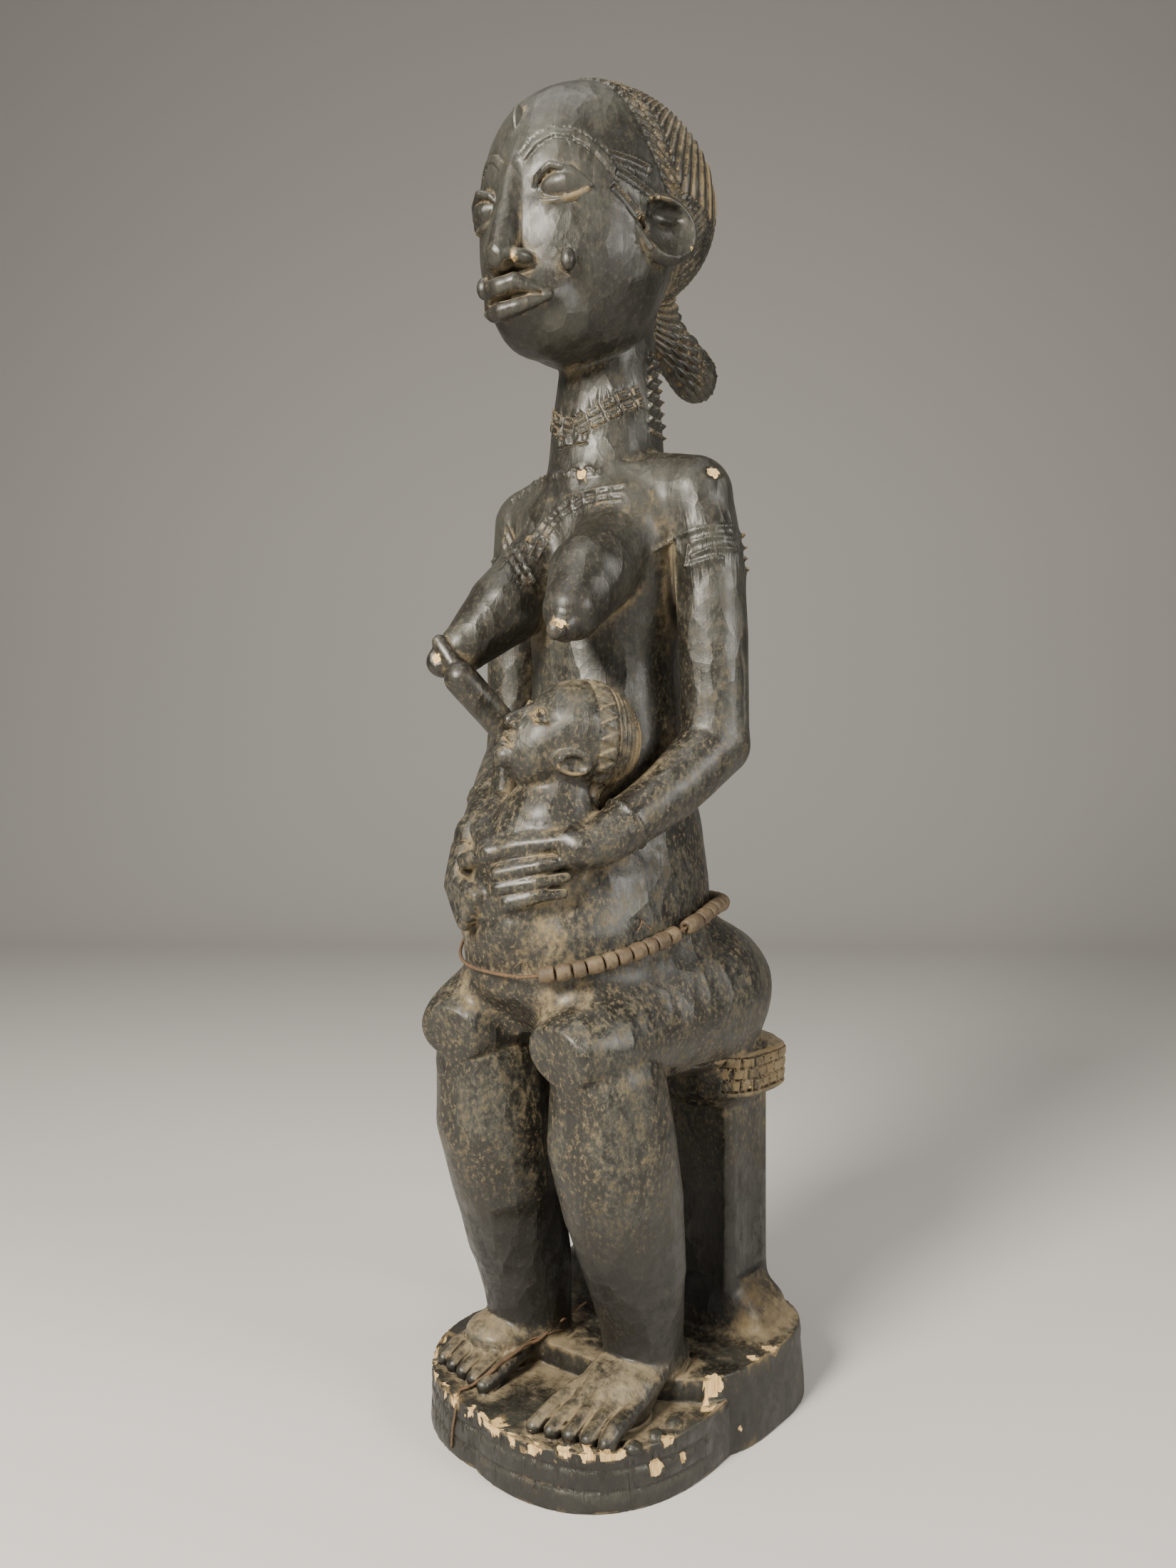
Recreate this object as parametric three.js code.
// An African maternity figure: a seated mother with a child at her waist, carved from one block
// of wood with her stool and plinth, and wearing a string of separate beads round her hips.
//
// The carving is written as one field, a function that is negative inside the wood and positive
// outside.  Every limb, breast, ear and foot is a simple shape, joined to the others or cut from
// them with a soft or a hard seam.  The surface where the field is zero is walked once and then
// thinned to flat facets, much as an adze leaves them.  The beads and their cord are turned and
// swept by themselves, and take their place from the same field.
//
// Frame: millimetres, +Z up, the mother faces -Y, her left side is +X, the plinth stands on z = 0.

import * as THREE from 'three';

// Plinth: a low round front under the feet and a higher, squarer rear under the stool
const PLINTH_WIDTH = 192;
const PLINTH_REAR_DEPTH = 152;
const PLINTH_REAR_HEIGHT = 44;
const PLINTH_REAR_Y = 35;
const PLINTH_TAPER = 3;
const PLINTH_FRONT_RADIUS = 88;
const PLINTH_FRONT_HEIGHT = 31;
const PLINTH_FRONT_Y = -18;
const PLINTH_RIGHT_OVERHANG = 4;
const PLINTH_LEFT_INSET = 6;

// Stool: an oval seat on a flat pillar with a spread foot
const SEAT_HALF_WIDTH = 81;
const SEAT_HALF_DEPTH = 40;
const SEAT_UNDERSIDE = 180;
const SEAT_THICKNESS = 39;
const SEAT_Y = 54;
const PILLAR_WIDTH = 122;
const PILLAR_DEPTH = 48;
const PILLAR_Y = 62;
const PILLAR_EDGE = 6;
const FOOT_HALF_WIDTH = 84;
const FOOT_HEIGHT = 28;

// Mother
const HIP_Z = 236;
const SHOULDER_Z = 543;
const SHOULDER_HALF_WIDTH = 62;
const ARM_RADIUS = 20;
const HEAD_Z = 727;
const HEAD_HALF_WIDTH = 60;
const HEAD_HALF_DEPTH = 79;
const HEAD_RISE = 59.5;
const HAIR_THICKNESS = 1.5;
const EYE_X = 26;
const EYE_Z = 700;
const NOSE_WIDTH = 12;
const MOUTH_Z = 639;
const EAR_HEIGHT = 48;
const LEFT_FOOT_REACH = 106;
const RIGHT_FOOT_REACH = 92;
const TOE_PITCH = 9.6;
const TOE_RADIUS = 5.5;
const FINGER_RADIUS = 5;

// Waist string: beads from the front, round her left side and back, to her right thigh, where
// the cord is bare
const BEAD_RADIUS = 4.8;
const BEAD_END_TAPER = 0.7;
const BEAD_BORE_CLEARANCE = 0.7;
const BEAD_LENGTH = 7.8;
const BEAD_VARIATION = 1.2;
const BEAD_GAP = 0.8;
const BEAD_SIDES = 7;
const LONG_BEAD_INDEX = 10;
const LONG_BEAD_LENGTH = 13.5;
const FIBRE_GAP = 7.5;
const STRING_Z = 301.6;
const STRING_SLOPE = 0.266;
const STRING_TURN_Y = 9;
const STRING_CLEARANCE = 1.3;
const STRING_START = 33;
const STRING_TAIL = 4;
const BARE_FROM_DEG = 313;
const BARE_TO_DEG = 10;
const CORD_RADIUS = 1;
const CORD_SIDES = 5;
const CORD_STEP_COUNT = 60;

// Facets
const GRID = 4.2;
const FIGURE_TRIANGLE_COUNT = 6150;

const SIDES = [1, -1];
const clamp = (t, low, high) => Math.min(high, Math.max(low, t));

// Shapes: each has a box that bounds it and f, its distance field

// the smaller of two distances, with a fillet of about k where they meet
function soft(a, b, k) {
  if (k <= 0) return Math.min(a, b);
  const h = Math.max(k - Math.abs(a - b), 0) / k;
  return Math.min(a, b) - h * h * k * 0.25;
}

function turn(yaw, pitch, roll) {
  const [x, y, z] = [pitch, roll, yaw].map(THREE.MathUtils.degToRad);
  return new THREE.Matrix4().makeRotationFromEuler(new THREE.Euler(x, y, z, 'ZXY')).elements;
}

// an ellipsoid: c is its centre and r its three radii
function ball(c, r, yaw = 0, pitch = 0, roll = 0) {
  const e = turn(yaw, pitch, roll);
  const big = Math.max(...r);
  return {
    box: [...c.map((v) => v - big), ...c.map((v) => v + big)],
    f(x, y, z) {
      const X = x - c[0];
      const Y = y - c[1];
      const Z = z - c[2];
      const u = (e[0] * X + e[1] * Y + e[2] * Z) / r[0];
      const v = (e[4] * X + e[5] * Y + e[6] * Z) / r[1];
      const w = (e[8] * X + e[9] * Y + e[10] * Z) / r[2];
      const k0 = Math.hypot(u, v, w);
      const k1 = Math.hypot(u / r[0], v / r[1], w / r[2]);
      return k1 > 1e-9 ? k0 * (k0 - 1) / k1 : -Math.min(...r);
    },
  };
}

// a limb: a chain of round cones through [x, y, z, radius], flattened by squash along n
function limb(stations, squash = 1, n = [0, 0, 1]) {
  const flatten = (x, y, z) => {
    const t = (x * n[0] + y * n[1] + z * n[2]) * (squash - 1);
    return [x + n[0] * t, y + n[1] * t, z + n[2] * t];
  };
  const p = stations.map(([x, y, z, r]) => [...flatten(x, y, z), r]);
  const edge = (sign, pick) => [0, 1, 2].map((i) => pick(...stations.map((s) => s[i] + sign * s[3])));
  return {
    box: [...edge(-1, Math.min), ...edge(1, Math.max)],
    f(x, y, z) {
      const [X, Y, Z] = flatten(x, y, z);
      let best = Infinity;
      for (let i = 0; i + 1 < p.length; i += 1) {
        const a = p[i];
        const b = p[i + 1];
        const bx = b[0] - a[0];
        const by = b[1] - a[1];
        const bz = b[2] - a[2];
        const px = X - a[0];
        const py = Y - a[1];
        const pz = Z - a[2];
        const h = clamp((px * bx + py * by + pz * bz) / (bx * bx + by * by + bz * bz), 0, 1);
        const d = Math.hypot(px - bx * h, py - by * h, pz - bz * h) - (a[3] + (b[3] - a[3]) * h);
        if (d < best) best = d;
      }
      return best;
    },
  };
}

// an upright body through levels [z, centre x, centre y, half width, depth to the front, depth to
// the back]; its plan is an oval at power 2 and a rounded rectangle at 3 and above
function column(levels, power = 2) {
  const last = levels.length - 1;
  const low = (pick) => Math.min(...levels.map(pick));
  const high = (pick) => Math.max(...levels.map(pick));
  return {
    box: [
      low((l) => l[1] - l[3]), low((l) => l[2] - l[4]), levels[0][0],
      high((l) => l[1] + l[3]), high((l) => l[2] + l[5]), levels[last][0],
    ],
    f(x, y, z) {
      const zz = clamp(z, levels[0][0], levels[last][0]);
      let i = 0;
      while (i < last - 1 && zz > levels[i + 1][0]) i += 1;
      const straight = (zz - levels[i][0]) / (levels[i + 1][0] - levels[i][0]);
      const t = (straight * straight * (3 - 2 * straight) + straight) / 2;
      const [, cx, cy, ax, front, back] = levels[i].map((v, k) => v + (levels[i + 1][k] - v) * t);
      const ay = y < cy ? front : back;
      const rho = ((Math.abs(x - cx) / ax) ** power + (Math.abs(y - cy) / ay) ** power) ** (1 / power);
      const side = (rho - 1) * Math.min(ax, ay);
      const end = Math.max(levels[0][0] - z, z - levels[last][0]);
      return end > 0 && side > 0 ? Math.hypot(end, side) : Math.max(end, side);
    },
  };
}

// an upright box with rounded edges
function block(c, half, round) {
  return {
    box: [...c.map((v, i) => v - half[i]), ...c.map((v, i) => v + half[i])],
    f(x, y, z) {
      const u = Math.abs(x - c[0]) - half[0] + round;
      const v = Math.abs(y - c[1]) - half[1] + round;
      const w = Math.abs(z - c[2]) - half[2] + round;
      const outside = Math.hypot(Math.max(u, 0), Math.max(v, 0), Math.max(w, 0));
      return outside + Math.min(Math.max(u, v, w), 0) - round;
    },
  };
}

// Carving: what is joined to the block or cut from it, in order, each with the fillet k of its seam
const carving = [];
const join = (k, shape) => carving.push({ cut: false, k, ...shape });
const cut = (k, shape) => carving.push({ cut: true, k, ...shape });

function field(shapes, x, y, z) {
  let d = 1e3;
  for (const s of shapes) {
    const v = s.f(x, y, z);
    d = s.cut ? -soft(-d, v, s.k) : soft(d, v, s.k);
  }
  return d;
}

function carvePlinth() {
  const w = PLINTH_WIDTH / 2;
  const d = PLINTH_REAR_DEPTH / 2;
  join(0, column([
    [0, 0, PLINTH_REAR_Y, w, d, d],
    [PLINTH_REAR_HEIGHT, 0, PLINTH_REAR_Y, w - PLINTH_TAPER, d, d - PLINTH_TAPER + 1],
  ], 3));
  // two rounds in front: one under the right foot, one under the left
  const r = PLINTH_FRONT_RADIUS;
  const top = PLINTH_FRONT_HEIGHT;
  const right = [r - w - PLINTH_RIGHT_OVERHANG, PLINTH_FRONT_Y];
  join(0, column([[0, ...right, r, r, r], [top, ...right, r - 1, r - 1, r]]));
  const halfWidth = w - 4 * PLINTH_LEFT_INSET;
  const left = [w - PLINTH_LEFT_INSET - halfWidth, PLINTH_FRONT_Y - PLINTH_LEFT_INSET];
  join(0, column([[0, ...left, halfWidth, r, r], [top, ...left, halfWidth - 1, r - 1, r]], 2.3));
}

function carveStool() {
  const w = SEAT_HALF_WIDTH;
  const d = SEAT_HALF_DEPTH;
  const z = SEAT_UNDERSIDE;
  const top = SEAT_UNDERSIDE + SEAT_THICKNESS;
  join(1.5, column([
    [z, 0, SEAT_Y, w - 19, d - 10, d - 10],
    [z + 11, 0, SEAT_Y, w - 1, d, d - 2],
    [top - 6, 0, SEAT_Y, w, d, d - 2],
    [top, 0, SEAT_Y, w - 7, d - 4, d - 8],
  ], 4));
  const from = PLINTH_REAR_HEIGHT - 6;
  const to = top - 17;
  const halfWidth = PILLAR_WIDTH / 2;
  const halfDepth = PILLAR_DEPTH / 2;
  join(2, block([0, PILLAR_Y, (from + to) / 2], [halfWidth, halfDepth, (to - from) / 2], PILLAR_EDGE));
  const base = PLINTH_REAR_HEIGHT - 8;
  join(4, column([
    [base, 0, PILLAR_Y - 2, FOOT_HALF_WIDTH, 38, 44],
    [base + 16, 0, PILLAR_Y - 2, FOOT_HALF_WIDTH - 6, 32, 38],
    [PLINTH_REAR_HEIGHT + FOOT_HEIGHT, 0, PILLAR_Y - 2, halfWidth + 2, halfDepth, halfDepth + 4],
  ], 3.4));
}

function carveLeg(s) {
  const sole = PLINTH_FRONT_HEIGHT;
  const front = -(s > 0 ? LEFT_FOOT_REACH : RIGHT_FOOT_REACH);
  const knee = HIP_Z + (s > 0 ? 2 : 5);
  // calf, heavy below the knee
  join(6, limb([
    [s * 46, -66, 205, 33], [s * 47, -60, 180, 33], [s * 46, -50, 145, 31],
    [s * 45, -38, 105, 28], [s * 44, -31, 76, 23], [s * 44, -27, sole + 17, 22],
  ]));
  // foot, flattened, and its five toes
  const instep = [[s * 44, -18, sole + 19, 21], [s * 46, -48, sole + 15, 22]];
  join(4, limb([...instep, [s * 45, front + 34, sole + 5, 24]], 1.9));
  for (let i = 0; i < 5; i += 1) {
    const x = 27 + i * TOE_PITCH;
    const root = [s * x, front + 32, sole + 7, TOE_RADIUS];
    join(1.5, limb([root, [s * (x + (i - 2) * 0.8), front + i * 2.6, sole + 3, TOE_RADIUS - 0.7]]));
  }
  // knee, thigh and hip
  join(8, ball([s * 42, s > 0 ? -58 : -56, knee - (s > 0 ? 1 : 0)], [33, 56, 27.5], -2 * s, 6));
  join(8, limb([[s * 42, -65, knee, 26], [s * 43, -20, HIP_Z + 7, 37], [s * 40, 20, HIP_Z + 14, 44]]));
  join(10, ball([s * 41, 25, HIP_Z + 13], [43, 64, 46]));
}

function carveTrunk() {
  // a swollen belly below a narrow waist
  join(12, column([
    [HIP_Z, 0, -6, 64, 70, 66],
    [262, 0, -10, 66, 91, 66],
    [292, 0, -11, 65, 96, 65],
    [320, 0, -10, 63, 80, 64],
    [345, 0, -8, 58, 62, 61],
    [385, 0, -5, 50, 46, 50],
    [445, 0, -6, 45, 41, 44],
    [500, 0, -8, 54, 40, 40],
    [535, 0, -6, 66, 34, 34],
    [560, 0, -4, 52, 30, 30],
  ], 2.1));
  const w = SHOULDER_HALF_WIDTH;
  const z = SHOULDER_Z;
  join(8, limb([[-w, -4, z, 21], [0, -4, z + 9, 26], [w, -4, z, 21]], 1.1, [0, 1, 0]));
  // the neck
  join(3, column([
    [545, 0, -5, 40, 38, 38],
    [575, 0, -5, 35, 34, 34],
    [645, 0, -4, 28, 27, 29],
    [690, 0, -4, 28, 27, 29],
  ]));
}

function carveArms() {
  const r = ARM_RADIUS;
  for (const s of SIDES) {
    const elbow = [s * 75, -1, 400, r - 0.5];
    join(4, limb([[s * 65, -4, 540, r], [s * 71, -2, 505, r], [s * 74, -2, 460, r], elbow]));
  }
  join(3, limb([[75, -2, 397, r - 0.5], [66, -36, 370, r - 3], [52, -75, 345, 13.5]]));
  join(3, limb([[-75, -2, 397, r - 1], [-55, -38, 377, r - 4], [-36, -73, 355, 13]]));
  // left hand: a palm and four fingers laid along the child
  const f = FINGER_RADIUS;
  join(3, ball([47, -85, 331], [13, 15, 19], 20));
  join(1.5, limb([[45, -98, 344, f + 1.5], [14, -110, 341, f + 1], [-14, -113, 333, f]]));
  join(1.5, limb([[46, -97, 333, f + 0.5], [12, -113, 325, f]]));
  join(1.5, limb([[45, -96, 324, f + 0.5], [14, -112, 316, f]]));
  join(1.5, limb([[41, -94, 315, f + 0.5], [20, -108, 307, f]]));
  // right hand: four fingers curl down round the child
  join(3, ball([-34, -82, 342], [14, 14, 18], -20));
  for (let i = 0; i < 4; i += 1) {
    join(1.5, limb([
      [-43 + i * 6, -88 - i * 5, 338, f + 0.8],
      [-39 + i * 5.5, -98 - i * 4, 317 + i * 2, f + 0.6],
      [-17 + i * 4, -110 - i * 1.5, 299 + i * 5, f],
    ]));
  }
}

function carveBreasts() {
  join(7, limb([[30, -36, 524, 25], [29, -58, 494, 26], [33, -79, 469, 17], [35, -88, 460, 9.5]]));
  join(7, limb([[-24, -34, 514, 24], [-30, -62, 478, 23.5], [-41, -85, 454, 15], [-47, -97, 445, 9.5]]));
}

function carveHead() {
  const w = HEAD_HALF_WIDTH;
  // skull, face, chin and mouth
  join(0, ball([0, -10, HEAD_Z], [w, HEAD_HALF_DEPTH, HEAD_RISE]));
  join(20, ball([0, -36, 684], [w - 5, 56, 64]));
  join(8, ball([0, -62, 636], [27, 24, 18]));
  join(8, ball([0, -72, 645], [26, 25, 17]));
  const n = NOSE_WIDTH / 2;
  join(4, limb([[0, -88, 716, n], [0, -94, 690, n + 0.5], [0, -100, 663, n + 2.5]]));
  for (const s of SIDES) {
    join(2, ball([s * (n + 3), -93, 661], [n, 9, 5]));
    cut(5, ball([s * EYE_X, -99, EYE_Z + 1], [17, 14, 13], s * 25));
    join(0.5, ball([s * EYE_X, -76, EYE_Z], [14.5, 13, 9.5], s * 25));
    const upper = [[0, -101, MOUTH_Z + 5, 5.5], [s * 10, -98, MOUTH_Z + 7, 5.2]];
    const lower = [[0, -99, MOUTH_Z - 5, 5], [s * 10, -96, MOUTH_Z - 4, 4.8]];
    join(1.5, limb([...upper, [s * 20, -87, MOUTH_Z + 3, 3.4]]));
    join(1.5, limb([...lower, [s * 20, -87, MOUTH_Z + 2, 3.4]]));
    // a C-shaped ear, hollow in front
    join(2, ball([s * (w - 3), -19, 683], [9, 18, EAR_HEIGHT / 2], s * 14));
    cut(1, ball([s * (w + 6), -22, 688], [9, 11, EAR_HEIGHT / 3], s * 14));
  }
  // the cap of hair and its plait at the nape
  join(0, ball([0, -6, HEAD_Z], [w + HAIR_THICKNESS, HEAD_HALF_DEPTH - 2, HEAD_RISE + HAIR_THICKNESS]));
  join(5, limb([[0, 30, 690, 20], [0, 58, 664, 15], [0, 92, 649, 17]], 1.25, [1, 0, 0]));
}

function carveChild() {
  // head laid on its side, face, neck and a body held between the two hands
  join(3, ball([25, -73, 404], [41, 27, 28], 8, 0, -6));
  join(3, ball([-4, -80, 398], [24, 21, 20]));
  join(5, limb([[24, -70, 385, 17], [22, -74, 362, 19]]));
  const body = [[14, -76, 352, 27], [4, -80, 334, 31], [0, -86, 314, 27], [4, -94, 298, 17]];
  join(5, limb(body, 0.9, [1, 0, 0]));
  join(3, limb([[-16, -82, 362, 9], [-14, -100, 350, 7], [2, -110, 338, 6]]));
  // the raised arm and its four fingers on the mother's breast
  join(2, limb([[-20, -76, 368, 9], [-9, -86, 404, 10], [-27, -102, 434, 10]]));
  const f = FINGER_RADIUS;
  for (let i = 0; i < 4; i += 1) {
    const knuckle = [-30 - i * 4, -100 + i * 3, 436 + i * 2, f];
    join(1, limb([knuckle, [-44 - i * 3, -103 + i * 3, 455 - i * 3, f]]));
  }
}

carvePlinth();
carveStool();
SIDES.forEach(carveLeg);
carveTrunk();
carveArms();
carveBreasts();
carveHead();
carveChild();

// Surface: the field is sampled on a grid, block by block, and its zero level becomes facets
const BLOCK_COUNT = 6;
const FAR = 1e3;
const TOUCH = 1e-3;
const FILLED = -0.05;

function sampleField(step) {
  const solids = carving.filter((s) => !s.cut);
  const low = [0, 1, 2].map((i) => Math.min(...solids.map((s) => s.box[i])));
  const high = [0, 1, 2].map((i) => Math.max(...solids.map((s) => s.box[i + 3])));
  // the odd share of a step keeps grid planes off the flat faces of the plinth and the stool
  const origin = [low[0] - 2 * step, low[1] - 2 * step, low[2] - 2.37 * step];
  const blocks = low.map((v, i) => Math.ceil((high[i] - v + 4 * step) / (step * BLOCK_COUNT)));
  const size = blocks.map((n) => n * BLOCK_COUNT + 1);
  const [nx, ny, nz] = size;
  const value = new Float32Array(nx * ny * nz).fill(FAR);
  const fillBlock = (bx, by, bz) => {
    const from = [bx, by, bz].map((b, i) => origin[i] + b * step);
    const to = from.map((v) => v + (BLOCK_COUNT - 1) * step);
    const near = carving.filter((s) => [0, 1, 2].every((i) => {
      const pad = s.k + 2 * step;
      return s.box[i] - pad <= to[i] && s.box[i + 3] + pad >= from[i];
    }));
    if (near.every((s) => s.cut)) return;
    for (let k = bz; k < Math.min(bz + BLOCK_COUNT, nz); k += 1) {
      for (let j = by; j < Math.min(by + BLOCK_COUNT, ny); j += 1) {
        for (let i = bx; i < Math.min(bx + BLOCK_COUNT, nx); i += 1) {
          const v = field(near, origin[0] + i * step, origin[1] + j * step, origin[2] + k * step);
          value[(k * ny + j) * nx + i] = Math.abs(v) < TOUCH ? TOUCH : v;
        }
      }
    }
  };
  for (let bz = 0; bz < nz; bz += BLOCK_COUNT) {
    for (let by = 0; by < ny; by += BLOCK_COUNT) {
      for (let bx = 0; bx < nx; bx += BLOCK_COUNT) fillBlock(bx, by, bz);
    }
  }
  return { value, origin, size, stride: [1, nx, nx * ny] };
}

function eachCell([nx, ny, nz], visit) {
  for (let k = 0; k + 1 < nz; k += 1) {
    for (let j = 0; j + 1 < ny; j += 1) {
      for (let i = 0; i + 1 < nx; i += 1) visit(i, j, k, (k * ny + j) * nx + i);
    }
  }
}

// where wood meets wood only across the diagonal of a cell's face, the gap is filled
function fillDiagonals({ value, size, stride }) {
  let changed = true;
  while (changed) {
    changed = false;
    eachCell(size, (i, j, k, a) => {
      for (let n = 0; n < 3; n += 1) {
        const b = a + stride[n];
        const c = a + stride[(n + 1) % 3];
        const inside = value[a] < 0;
        if (inside !== value[b + c - a] < 0 || inside === value[b] < 0 || inside === value[c] < 0) continue;
        value[inside ? b : a] = FILLED;
        changed = true;
      }
    });
  }
}

// A cell's corners are numbered by bits: 1 along x, 2 along y, 4 along z.
const cellBits = [1, 2, 4];
const cellCorners = [0, 1, 2, 3, 4, 5, 6, 7];
const cellEdges = [];
for (let c = 0; c < 8; c += 1) for (const bit of cellBits) if (!(c & bit)) cellEdges.push([c, c | bit]);
const edgeBetween = (a, b) => cellEdges.findIndex(([p, q]) => (p === a && q === b) || (p === b && q === a));
const cellFaces = cellBits.flatMap((bit) => {
  const [p, q] = cellBits.filter((v) => v !== bit);
  return [0, bit].map((m) => [m, m | p, m | p | q, m | q]);
});
const faceEdges = cellFaces.map((f) => f.map((c, i) => edgeBetween(c, f[(i + 1) % 4])));

// One vertex for every separate sheet of the surface in a cell, and one facet pair for every grid
// edge that the surface crosses, so no edge is shared by more than two facets.
function surface(step) {
  const grid = sampleField(step);
  fillDiagonals(grid);
  const { value, origin, size, stride } = grid;
  const points = [];
  const sheetVertex = new Map();
  const cornerAt = (cell, c) => cell + (c & 1) + ((c >> 1) & 1) * stride[1] + (c >> 2) * stride[2];
  eachCell(size, (i, j, k, cell) => {
    const v = cellCorners.map((c) => value[cornerAt(cell, c)]);
    const inside = v.filter((d) => d < 0).length;
    if (inside === 0 || inside === 8) return;
    const up = cellEdges.map(([a, b], e) => (v[a] < 0 !== v[b] < 0 ? e : -1));
    const root = (e) => (up[e] === e ? e : root(up[e]));
    faceEdges.forEach((f) => {
      const crossed = f.filter((e) => up[e] >= 0);
      if (crossed.length === 2) up[root(crossed[0])] = root(crossed[1]);
    });
    const sheets = new Map();
    cellEdges.forEach(([a, b], e) => {
      if (up[e] < 0) return;
      const r = root(e);
      if (!sheets.has(r)) sheets.set(r, { edges: [], sum: [0, 0, 0] });
      const sheet = sheets.get(r);
      sheet.edges.push(e);
      const t = v[a] / (v[a] - v[b]);
      cellBits.forEach((bit, n) => {
        sheet.sum[n] += (a & bit ? 1 : 0) + ((b & bit ? 1 : 0) - (a & bit ? 1 : 0)) * t;
      });
    });
    for (const { edges, sum } of sheets.values()) {
      for (const e of edges) sheetVertex.set(cell * 12 + e, points.length / 3);
      [i, j, k].forEach((at, n) => points.push(origin[n] + step * (at + sum[n] / edges.length)));
    }
  });
  const faces = [];
  for (const [key, first] of sheetVertex) {
    const e = key % 12;
    const cell = (key - e) / 12;
    const [a, b] = cellEdges[e];
    const axis = Math.log2(b - a);
    if (a !== 7 - (1 << axis)) continue;
    const [u, w] = [(axis + 1) % 3, (axis + 2) % 3];
    const vertex = (du, dw) => {
      const from = a - (du << u) - (dw << w);
      const there = cell + du * stride[u] + dw * stride[w];
      return sheetVertex.get(there * 12 + edgeBetween(from, from + (1 << axis)));
    };
    const q = [first, vertex(1, 0), vertex(1, 1), vertex(0, 1)];
    if (value[cornerAt(cell, a)] >= 0) q.reverse();
    faces.push(q[0], q[1], q[2], q[0], q[2], q[3]);
  }
  return { points, faces: outerSkin(points.length / 3, faces) };
}

// keeps the outer skin and drops any small closed pocket left inside the wood
function outerSkin(count, faces) {
  const up = Int32Array.from({ length: count }, (_, i) => i);
  const root = (v) => {
    let r = v;
    while (up[r] !== r) {
      up[r] = up[up[r]];
      r = up[r];
    }
    return r;
  };
  for (let f = 0; f < faces.length; f += 3) {
    up[root(faces[f])] = root(faces[f + 1]);
    up[root(faces[f + 1])] = root(faces[f + 2]);
  }
  const tally = new Map();
  for (let f = 0; f < faces.length; f += 3) tally.set(root(faces[f]), (tally.get(root(faces[f])) || 0) + 1);
  const skin = [...tally].sort((a, b) => b[1] - a[1])[0][0];
  return faces.filter((_, i) => root(faces[i - (i % 3)]) === skin);
}

// a queue that always gives back the cheapest item first; an item's cost is its first entry
class CheapestFirst {
  items = [];

  push(item) {
    let i = this.items.length;
    this.items.push(item);
    while (i > 0) {
      const parent = (i - 1) >> 1;
      if (item[0] >= this.items[parent][0]) break;
      this.items[i] = this.items[parent];
      i = parent;
    }
    this.items[i] = item;
  }

  pop() {
    const top = this.items[0];
    const item = this.items.pop();
    const n = this.items.length;
    let i = 0;
    while (n > 0) {
      let child = 2 * i + 1;
      if (child >= n) break;
      if (child + 1 < n && this.items[child + 1][0] < this.items[child][0]) child += 1;
      if (this.items[child][0] >= item[0]) break;
      this.items[i] = this.items[child];
      i = child;
    }
    if (n > 0) this.items[i] = item;
    return top;
  }
}

// Thinning: edges are collapsed, cheapest first, to the point nearest to the planes of the facets
// around them, until the target is reached.
const MIDDLE_PULL_RATIO = 1e-3;
const LENGTH_COST_RATIO = 1e-7;
const LEAST_DOT_RATIO = 0.3;
const LEAST_ASPECT_RATIO = 0.06;

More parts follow.
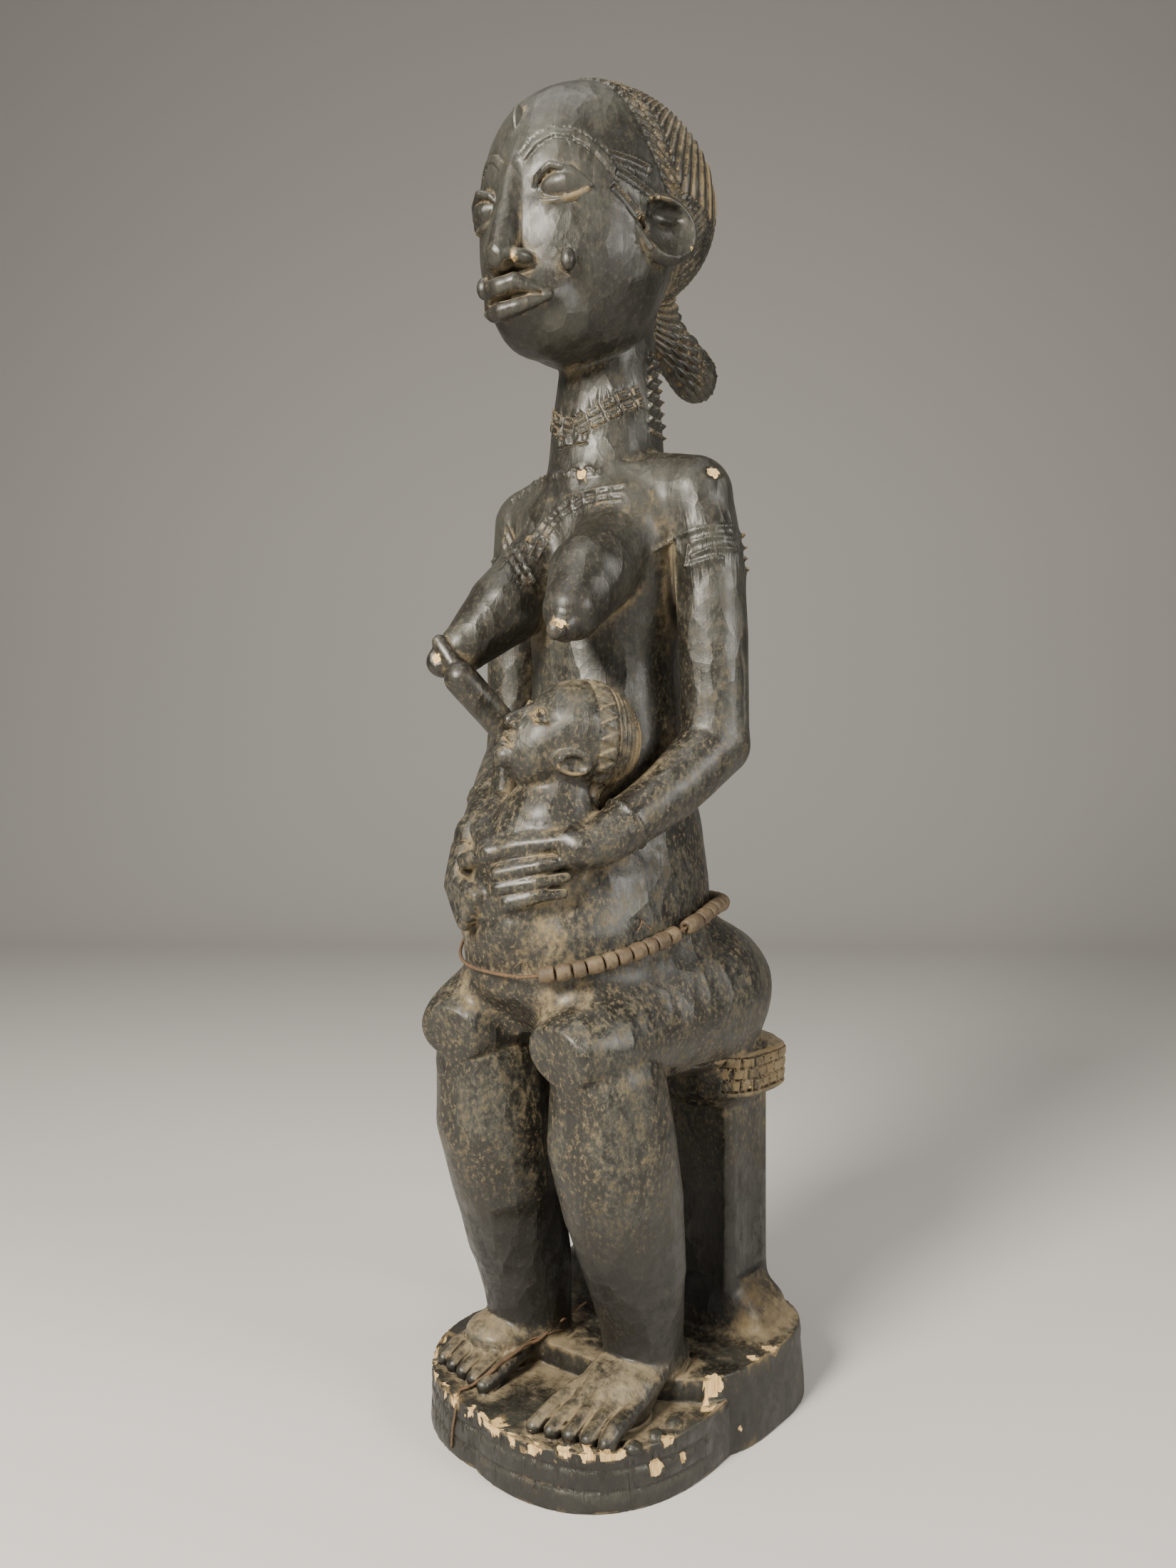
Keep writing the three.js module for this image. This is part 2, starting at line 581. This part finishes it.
function thin(points, faces, target) {
  const P = Float64Array.from(points);
  const F = Int32Array.from(faces);
  const vertices = P.length / 3;
  const facets = F.length / 3;
  const quadric = new Float64Array(vertices * 10);
  const around = Array.from({ length: vertices }, () => []);
  const alive = new Uint8Array(facets).fill(1);
  const corners = (f) => [F[f * 3], F[f * 3 + 1], F[f * 3 + 2]];
  const apart = (a, b) => {
    const [i, j] = [a * 3, b * 3];
    return Math.hypot(P[i] - P[j], P[i + 1] - P[j + 1], P[i + 2] - P[j + 2]);
  };
  const normal = ([a, b, c]) => {
    const ux = P[b * 3] - P[a * 3];
    const uy = P[b * 3 + 1] - P[a * 3 + 1];
    const uz = P[b * 3 + 2] - P[a * 3 + 2];
    const vx = P[c * 3] - P[a * 3];
    const vy = P[c * 3 + 1] - P[a * 3 + 1];
    const vz = P[c * 3 + 2] - P[a * 3 + 2];
    return [uy * vz - uz * vy, uz * vx - ux * vz, ux * vy - uy * vx];
  };
  for (let f = 0; f < facets; f += 1) {
    const at = corners(f);
    at.forEach((v) => around[v].push(f));
    const n = normal(at);
    const length = Math.hypot(...n);
    if (length < 1e-12) continue;
    const [x, y, z] = n.map((v) => v / length);
    const a = at[0];
    const d = -(x * P[a * 3] + y * P[a * 3 + 1] + z * P[a * 3 + 2]);
    const q = [x * x, x * y, x * z, x * d, y * y, y * z, y * d, z * z, z * d, d * d];
    for (const v of at) for (let i = 0; i < 10; i += 1) quadric[v * 10 + i] += q[i] * length / 2;
  }

  const version = new Int32Array(vertices);
  const gone = new Uint8Array(vertices);
  const queue = new CheapestFirst();
  const offer = (a, b) => {
    const q = Array.from({ length: 10 }, (_, i) => quadric[a * 10 + i] + quadric[b * 10 + i]);
    const [mx, my, mz] = [0, 1, 2].map((i) => (P[a * 3 + i] + P[b * 3 + i]) / 2);
    const span = apart(a, b);
    // a small pull to the middle keeps the solve well behaved on flat faces
    const pull = MIDDLE_PULL_RATIO * (q[0] + q[4] + q[7]);
    const A = q[0] + pull;
    const B = q[4] + pull;
    const C = q[7] + pull;
    const r0 = -q[3] + pull * mx;
    const r1 = -q[6] + pull * my;
    const r2 = -q[8] + pull * mz;
    // the inverse of the symmetric matrix of the planes, by its cofactors
    const ca = B * C - q[5] * q[5];
    const cb = q[5] * q[2] - q[1] * C;
    const cc = q[1] * q[5] - B * q[2];
    const cd = q[1] * q[2] - A * q[5];
    const det = A * ca + q[1] * cb + q[2] * cc;
    let [x, y, z] = [mx, my, mz];
    if (Math.abs(det) > 1e-12) {
      const sx = (r0 * ca + r1 * cb + r2 * cc) / det;
      const sy = (r0 * cb + r1 * (A * C - q[2] * q[2]) + r2 * cd) / det;
      const sz = (r0 * cc + r1 * cd + r2 * (A * B - q[1] * q[1])) / det;
      if (Math.hypot(sx - mx, sy - my, sz - mz) < span) [x, y, z] = [sx, sy, sz];
    }
    const error = q[0] * x * x + 2 * q[1] * x * y + 2 * q[2] * x * z + 2 * q[3] * x
      + q[4] * y * y + 2 * q[5] * y * z + 2 * q[6] * y + q[7] * z * z + 2 * q[8] * z + q[9];
    const cost = Math.max(error, 0) + LENGTH_COST_RATIO * span * span;
    queue.push([cost, a, b, version[a] + version[b], [x, y, z]]);
  };
  const neighbours = (v) => {
    const found = new Set();
    for (const f of around[v]) if (alive[f]) for (const w of corners(f)) if (w !== v) found.add(w);
    return found;
  };
  // no facet round the edge may turn over or become a sliver
  const spoils = (me, other, place) => around[me].some((f) => {
    const at = corners(f);
    if (!alive[f] || at.includes(other)) return false;
    const before = normal(at);
    const keep = P.slice(me * 3, me * 3 + 3);
    P.set(place, me * 3);
    const after = normal(at);
    const longest = Math.max(apart(at[0], at[1]), apart(at[1], at[2]), apart(at[2], at[0]));
    P.set(keep, me * 3);
    const dot = before[0] * after[0] + before[1] * after[1] + before[2] * after[2];
    const area = Math.hypot(...after);
    const turned = dot < LEAST_DOT_RATIO * Math.hypot(...before) * area;
    return turned || area < LEAST_ASPECT_RATIO * longest * longest;
  });

  for (let v = 0; v < vertices; v += 1) for (const w of neighbours(v)) if (w > v) offer(v, w);
  let count = facets;
  while (count > target && queue.items.length) {
    const [, a, b, seen, place] = queue.pop();
    if (gone[a] || gone[b] || seen !== version[a] + version[b]) continue;
    const beside = neighbours(b);
    if ([...neighbours(a)].filter((v) => beside.has(v)).length !== 2) continue;
    if (spoils(a, b, place) || spoils(b, a, place)) continue;
    P.set(place, a * 3);
    for (let i = 0; i < 10; i += 1) quadric[a * 10 + i] += quadric[b * 10 + i];
    for (const f of around[b]) {
      if (!alive[f]) continue;
      if (corners(f).includes(a)) {
        alive[f] = 0;
        count -= 1;
      } else {
        F[f * 3 + corners(f).indexOf(b)] = a;
        around[a].push(f);
      }
    }
    around[a] = around[a].filter((f) => alive[f]);
    gone[b] = 1;
    version[a] += 1;
    for (const v of neighbours(a)) offer(a, v);
  }
  const place = new Map();
  const out = { points: [], faces: [] };
  for (let f = 0; f < facets; f += 1) {
    if (!alive[f]) continue;
    for (const v of corners(f)) {
      if (!place.has(v)) {
        place.set(v, out.points.length / 3);
        out.points.push(P[v * 3], P[v * 3 + 1], P[v * 3 + 2]);
      }
      out.faces.push(place.get(v));
    }
  }
  return out;
}

const part = new THREE.Group();
part.name = 'maternity_figure';

function addMesh(name, geometry, color, roughness) {
  const mesh = new THREE.Mesh(geometry, new THREE.MeshStandardMaterial({ color, roughness }));
  mesh.name = name;
  part.add(mesh);
}

function facetGeometry(points, faces) {
  const geometry = new THREE.BufferGeometry();
  geometry.setAttribute('position', new THREE.Float32BufferAttribute(points, 3));
  geometry.setIndex(faces);
  geometry.computeVertexNormals();
  return geometry;
}

// the underside is planed flat: what lies within this of the ground is put on it
const UNDERSIDE_TOLERANCE = 1;

function addFigure() {
  const raw = surface(GRID);
  const { points, faces } = thin(raw.points, raw.faces, FIGURE_TRIANGLE_COUNT);
  const flat = points.map((v, i) => (i % 3 === 2 && Math.abs(v) < UNDERSIDE_TOLERANCE ? 0 : v));
  addMesh('figure', facetGeometry(flat, faces), 0x2a2421, 0.6);
}

// The waist string lies in the crease between the belly and the thighs, on a plane that rises
// towards the back.  Round the trunk its distance from the axis is found by marching inwards.
const RING_COUNT = 720;
const MARCH_FROM = 130;
const MARCH_STEP = 0.4;
const SMOOTHING_COUNT = 40;
const SMOOTHING_REACH_COUNT = 4;

const angleOf = (i) => (i / RING_COUNT) * Math.PI * 2 - Math.PI / 2;
const stringHeight = (y) => STRING_Z + STRING_SLOPE * Math.min(y, STRING_TURN_Y);

function stringRing() {
  let ring = Array.from({ length: RING_COUNT }, (_, i) => {
    const c = Math.cos(angleOf(i));
    const s = Math.sin(angleOf(i));
    const degrees = (i * 360) / RING_COUNT;
    const bare = degrees > BARE_FROM_DEG || degrees < BARE_TO_DEG;
    const clear = (bare ? CORD_RADIUS : BEAD_RADIUS) + STRING_CLEARANCE;
    let r = MARCH_FROM;
    while (r > 0 && field(carving, c * r, s * r, stringHeight(s * r)) > clear) r -= MARCH_STEP;
    return r;
  });
  // a string under a little tension: smoothed, never tighter than the wood allows
  for (let pass = 0; pass < SMOOTHING_COUNT; pass += 1) {
    const before = (i) => ring[(i + RING_COUNT - SMOOTHING_REACH_COUNT) % RING_COUNT];
    const after = (i) => ring[(i + SMOOTHING_REACH_COUNT) % RING_COUNT];
    ring = ring.map((r, i) => Math.max(r, (before(i) + r + after(i)) / 3));
  }
  return ring;
}

const ring = stringRing();
const stringPoint = (turn) => {
  const i = Math.floor(turn) % RING_COUNT;
  const r = ring[i] + (ring[(i + 1) % RING_COUNT] - ring[i]) * (turn - Math.floor(turn));
  const a = angleOf(turn);
  return new THREE.Vector3(Math.cos(a) * r, Math.sin(a) * r, stringHeight(Math.sin(a) * r));
};
const travel = [0];
for (let i = 1; i <= RING_COUNT; i += 1) {
  travel.push(travel[i - 1] + stringPoint(i).distanceTo(stringPoint(i - 1)));
}
const stringLength = travel[RING_COUNT];
const atLength = (length) => {
  const s = (length + stringLength) % stringLength;
  let i = 0;
  while (i < RING_COUNT - 1 && travel[i + 1] < s) i += 1;
  return stringPoint(i + (s - travel[i]) / (travel[i + 1] - travel[i]));
};

// a drum, a little fuller in the middle than at its ends, with a bore for the cord
function beadGeometry(from, to) {
  const half = from.distanceTo(to) / 2;
  const bore = CORD_RADIUS + BEAD_BORE_CLEARANCE;
  const end = BEAD_RADIUS - BEAD_END_TAPER;
  const profile = [[bore, -half], [end, -half], [BEAD_RADIUS, 0], [end, half], [bore, half], [bore, -half]];
  const geometry = new THREE.LatheGeometry(profile.map(([r, h]) => new THREE.Vector2(r, h)), BEAD_SIDES);
  const along = to.clone().sub(from).normalize();
  geometry.applyQuaternion(new THREE.Quaternion().setFromUnitVectors(new THREE.Vector3(0, 1, 0), along));
  const middle = from.clone().lerp(to, 0.5);
  return geometry.translate(middle.x, middle.y, middle.z);
}

function addBeads() {
  const bareFrom = travel[Math.round((BARE_FROM_DEG / 360) * RING_COUNT)];
  let count = 0;
  let s = STRING_START;
  while (s < bareFrom - STRING_TAIL) {
    const uneven = BEAD_LENGTH + BEAD_VARIATION * Math.sin(count * 2.4 + 0.6);
    const length = count === LONG_BEAD_INDEX ? LONG_BEAD_LENGTH : uneven;
    if (count === LONG_BEAD_INDEX) s += FIBRE_GAP;
    count += 1;
    const name = `bead_${String(count).padStart(2, '0')}`;
    addMesh(name, beadGeometry(atLength(s), atLength(s + length)), 0x8a5a44, 0.7);
    s += length + BEAD_GAP;
  }
}

function addCord() {
  const points = [];
  const faces = [];
  for (let i = 0; i < CORD_STEP_COUNT; i += 1) {
    const s = (stringLength * i) / CORD_STEP_COUNT;
    const p = atLength(s);
    const along = atLength(s + 1).sub(atLength(s - 1)).normalize();
    const u = new THREE.Vector3(0, 0, 1).cross(along).normalize();
    const v = along.clone().cross(u);
    for (let k = 0; k < CORD_SIDES; k += 1) {
      const a = (k / CORD_SIDES) * Math.PI * 2;
      const out = u.clone().multiplyScalar(Math.cos(a)).addScaledVector(v, Math.sin(a));
      points.push(...p.clone().addScaledVector(out, CORD_RADIUS).toArray());
      const i2 = (i + 1) % CORD_STEP_COUNT;
      const k2 = (k + 1) % CORD_SIDES;
      const q = [i * CORD_SIDES + k, i2 * CORD_SIDES + k, i2 * CORD_SIDES + k2, i * CORD_SIDES + k2];
      faces.push(q[0], q[2], q[1], q[0], q[3], q[2]);
    }
  }
  addMesh('cord', facetGeometry(points, faces), 0x5a4630, 0.9);
}

addFigure();
addBeads();
addCord();

export default part;
